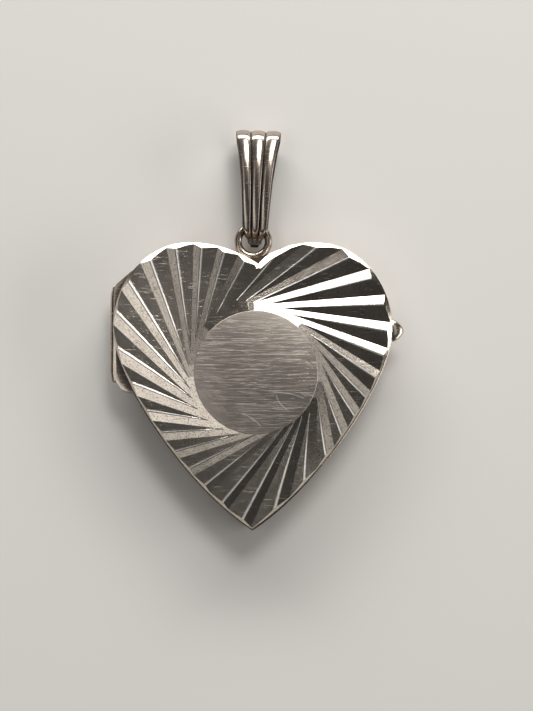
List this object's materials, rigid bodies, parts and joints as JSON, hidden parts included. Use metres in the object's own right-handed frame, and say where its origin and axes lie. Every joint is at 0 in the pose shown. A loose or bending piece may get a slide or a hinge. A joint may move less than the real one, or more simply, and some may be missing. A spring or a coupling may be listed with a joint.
{
  "type": "locket",
  "caption": "Heart-shaped silver photo locket with a swirl-cut domed front, side pin hinge, snap rim, suspension ring and fluted bail.",
  "frame": {"origin": "middle of the flat on the back cover, on the heart's middle line", "axes": "+Y towards the bail, +Z out of the swirl-cut front, +X towards the thumb piece (the hinge is at -X)"},
  "size_m": [0.0255, 0.0352, 0.0051],
  "materials": {
    "bright_cut_silver": "aged silver, bright-cut and lightly pitted",
    "silver": "aged polished silver with fine scratches",
    "satin_silver": "satin silver, unworn inside the locket",
    "clear_acetate": "clear thin sheet",
    "ivory_card": "matt card, slightly yellowed"
  },
  "bodies": {
    "back_half": {"back_cover": "silver", "back_frame": "silver", "back_hinge_bearer": "silver", "hinge_knuckle_lower": "silver", "hinge_knuckle_upper": "silver", "hinge_pin": "silver", "snap_rim": "satin_silver", "snap_bead": "satin_silver", "back_photo_frame": "satin_silver", "back_photo_window": "clear_acetate", "back_photo_blank": "ivory_card", "ring_saddle": "silver", "suspension_ring": "silver"},
    "front_half": {"front_cover": "bright_cut_silver", "front_frame": "silver", "front_hinge_bearer": "silver", "thumb_piece": "silver", "hinge_knuckle_middle": "silver", "front_photo_frame": "satin_silver", "front_photo_window": "clear_acetate", "front_photo_blank": "ivory_card"},
    "bail": {"bail": "silver"}
  },
  "joints": [
    {"name": "lid_hinge", "type": "hinge", "parent": "back_half", "child": "front_half", "pos_m": [-0.01195, 0.0045, 0.00231], "axis": [0, -1, 0], "range_deg": [0, 150]},
    {"name": "bail_swing", "type": "hinge", "parent": "back_half", "child": "bail", "pos_m": [0.00022, 0.01413, 0.0018], "axis": [0.9994, -0.0349, 0], "range_deg": [-25, 25]}
  ]
}
